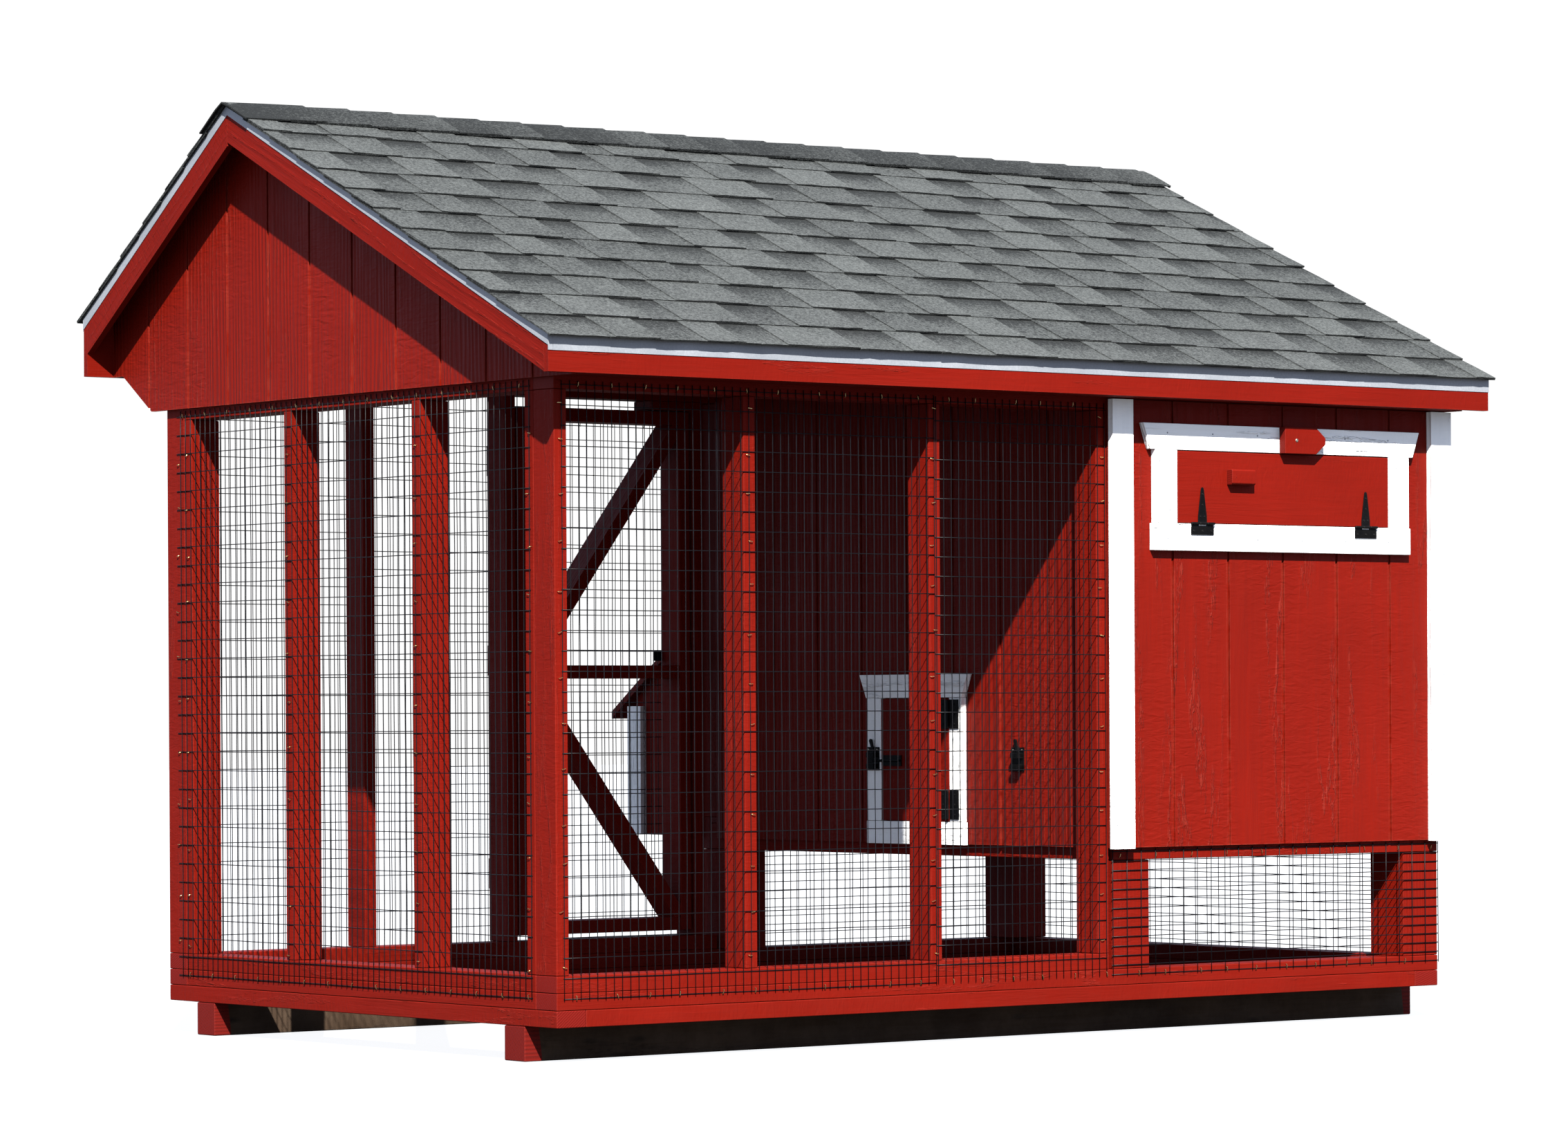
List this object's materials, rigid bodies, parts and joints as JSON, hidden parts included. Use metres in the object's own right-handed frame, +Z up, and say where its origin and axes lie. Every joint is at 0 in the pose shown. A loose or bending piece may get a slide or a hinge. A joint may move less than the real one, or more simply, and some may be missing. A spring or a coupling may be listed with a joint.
{
  "type": "chicken coop",
  "caption": "Gable-roofed wooden coop with a wire-mesh run beside a raised hen house, hinged doors and a rear nest box, standing on timber skids.",
  "frame": {"origin": "centre of the bounding box on the ground under the skids", "axes": "+X along the front from the wire run to the hen house, +Y from the front to the nest box at the back, +Z up"},
  "size_m": [3.2766, 2.3672, 2.5095],
  "materials": {
    "skid_front": "rough treated timber, unpainted sides",
    "skid_back": "rough treated timber, unpainted sides",
    "base_frame": "satin barn-red paint over planed lumber",
    "sill_frame": "satin barn-red paint over planed lumber",
    "bottom_plates": "satin barn-red paint over planed lumber",
    "wall_frame_front": "satin barn-red paint over planed lumber",
    "wall_frame_left": "satin barn-red paint over planed lumber",
    "wall_frame_back": "satin barn-red paint over planed lumber",
    "house_platform": "satin barn-red paint over planed lumber",
    "house_wall_front": "satin barn-red paint over grooved wood siding and boards",
    "house_wall_run_side": "satin barn-red paint over grooved wood siding and boards",
    "house_wall_back": "satin barn-red paint over grooved wood siding and boards",
    "house_wall_right": "satin barn-red paint over grooved wood siding and boards",
    "gable_panel_left": "satin barn-red paint over grooved wood siding and boards",
    "fascia_front": "satin barn-red paint over grooved wood siding and boards",
    "fascia_back": "satin barn-red paint over grooved wood siding and boards",
    "soffit_front": "satin barn-red paint over grooved wood siding and boards",
    "rake_board_front_left": "satin barn-red paint over grooved wood siding and boards",
    "rake_board_front_right": "satin barn-red paint over grooved wood siding and boards",
    "rake_board_back_left": "satin barn-red paint over grooved wood siding and boards",
    "rake_board_back_right": "satin barn-red paint over grooved wood siding and boards",
    "roof_deck_front": "bare sheathing",
    "roof_deck_back": "bare sheathing",
    "shingles_front": "mineral-surfaced asphalt",
    "shingles_back": "mineral-surfaced asphalt",
    "ridge_cap": "mineral-surfaced asphalt",
    "drip_edge": "white coated",
    "corner_trim_front_left": "satin white paint over embossed trim board",
    "corner_trim_front_right": "satin white paint over embossed trim board",
    "corner_trim_back_left": "satin white paint over embossed trim board",
    "corner_trim_back_right": "satin white paint over embossed trim board",
    "drop_door_trim": "satin white paint over embossed trim board",
    "pop_door_trim": "satin white paint over embossed trim board",
    "nest_trim_left": "satin white paint over embossed trim board",
    "nest_trim_right": "satin white paint over embossed trim board",
    "drop_plate_left": "black powder coat",
    "drop_plate_right": "black powder coat",
    "pop_latch": "black powder coat",
    "hold_latch": "black powder coat",
    "run_latch": "black powder coat",
    "nest_box": "satin barn-red paint",
    "mesh_front": "black vinyl-coated welded wire",
    "mesh_left": "black vinyl-coated welded wire",
    "mesh_back": "black vinyl-coated welded wire",
    "mesh_under_house": "black vinyl-coated welded wire",
    "drop_door": "satin barn-red paint",
    "drop_strap_left": "black powder coat",
    "drop_strap_right": "black powder coat",
    "turn_button": "satin barn-red paint",
    "pop_door": "satin barn-red paint",
    "pop_hinge_top": "black powder coat",
    "pop_hinge_bottom": "black powder coat",
    "pop_strike": "black powder coat",
    "run_door": "satin barn-red paint",
    "run_strike": "black powder coat",
    "mesh_run_door": "black vinyl-coated welded wire",
    "nest_lid": "satin barn-red paint",
    "pop_latch_lever": "black powder coat",
    "hold_latch_lever": "black powder coat",
    "run_latch_lever": "black powder coat"
  },
  "bodies": {
    "coop": {"skid_front": "skid_front", "skid_back": "skid_back", "base_frame": "base_frame", "sill_frame": "sill_frame", "bottom_plates": "bottom_plates", "wall_frame_front": "wall_frame_front", "wall_frame_left": "wall_frame_left", "wall_frame_back": "wall_frame_back", "house_platform": "house_platform", "house_wall_front": "house_wall_front", "house_wall_run_side": "house_wall_run_side", "house_wall_back": "house_wall_back", "house_wall_right": "house_wall_right", "gable_panel_left": "gable_panel_left", "fascia_front": "fascia_front", "fascia_back": "fascia_back", "soffit_front": "soffit_front", "rake_board_front_left": "rake_board_front_left", "rake_board_front_right": "rake_board_front_right", "rake_board_back_left": "rake_board_back_left", "rake_board_back_right": "rake_board_back_right", "roof_deck_front": "roof_deck_front", "roof_deck_back": "roof_deck_back", "shingles_front": "shingles_front", "shingles_back": "shingles_back", "ridge_cap": "ridge_cap", "drip_edge": "drip_edge", "corner_trim_front_left": "corner_trim_front_left", "corner_trim_front_right": "corner_trim_front_right", "corner_trim_back_left": "corner_trim_back_left", "corner_trim_back_right": "corner_trim_back_right", "drop_door_trim": "drop_door_trim", "pop_door_trim": "pop_door_trim", "nest_trim_left": "nest_trim_left", "nest_trim_right": "nest_trim_right", "drop_plate_left": "drop_plate_left", "drop_plate_right": "drop_plate_right", "pop_latch": "pop_latch", "hold_latch": "hold_latch", "run_latch": "run_latch", "nest_box": "nest_box", "mesh_front": "mesh_front", "mesh_left": "mesh_left", "mesh_back": "mesh_back", "mesh_under_house": "mesh_under_house"},
    "drop_door": {"drop_door": "drop_door", "drop_strap_left": "drop_strap_left", "drop_strap_right": "drop_strap_right"},
    "turn_button": {"turn_button": "turn_button"},
    "pop_door": {"pop_door": "pop_door", "pop_hinge_top": "pop_hinge_top", "pop_hinge_bottom": "pop_hinge_bottom", "pop_strike": "pop_strike"},
    "run_door": {"run_door": "run_door", "run_strike": "run_strike", "mesh_run_door": "mesh_run_door"},
    "nest_lid": {"nest_lid": "nest_lid"},
    "pop_latch_lever": {"pop_latch_lever": "pop_latch_lever"},
    "hold_latch_lever": {"hold_latch_lever": "hold_latch_lever"},
    "run_latch_lever": {"run_latch_lever": "run_latch_lever"}
  },
  "joints": [
    {"name": "drop_door_hinge", "type": "hinge", "parent": "coop", "child": "drop_door", "pos_m": [0.9144, -1.08839, 1.3745], "axis": [1, 0, 0], "range_deg": [0, 150]},
    {"name": "turn_button_pivot", "type": "hinge", "parent": "coop", "child": "turn_button", "pos_m": [0.93726, -1.08392, 1.60767], "axis": [0, 1, 0], "range_deg": [0, 90]},
    {"name": "pop_door_hinge", "type": "hinge", "parent": "coop", "child": "pop_door", "pos_m": [0.26746, -0.40589, 0.73391], "axis": [0, 0, 1], "range_deg": [0, 175]},
    {"name": "run_door_hinge", "type": "hinge", "parent": "coop", "child": "run_door", "pos_m": [-0.4191, 0.78435, 0.23353], "axis": [0, 0, 1], "range_deg": [0, 110]},
    {"name": "nest_lid_hinge", "type": "hinge", "parent": "coop", "child": "nest_lid", "pos_m": [0.9144, 0.81102, 1.12888], "axis": [1, 0, 0], "range_deg": [0, 100]},
    {"name": "pop_latch_pivot", "type": "hinge", "parent": "coop", "child": "pop_latch_lever", "pos_m": [0.26782, -0.07874, 0.76185], "axis": [1, 0, 0], "range_deg": [-15, 15]},
    {"name": "hold_latch_pivot", "type": "hinge", "parent": "coop", "child": "hold_latch_lever", "pos_m": [0.28687, -0.6858, 0.76185], "axis": [1, 0, 0], "range_deg": [-15, 15]},
    {"name": "run_latch_pivot", "type": "hinge", "parent": "coop", "child": "run_latch_lever", "pos_m": [0.23114, 0.78247, 1.06665], "axis": [0, 1, 0], "range_deg": [-15, 15]}
  ]
}
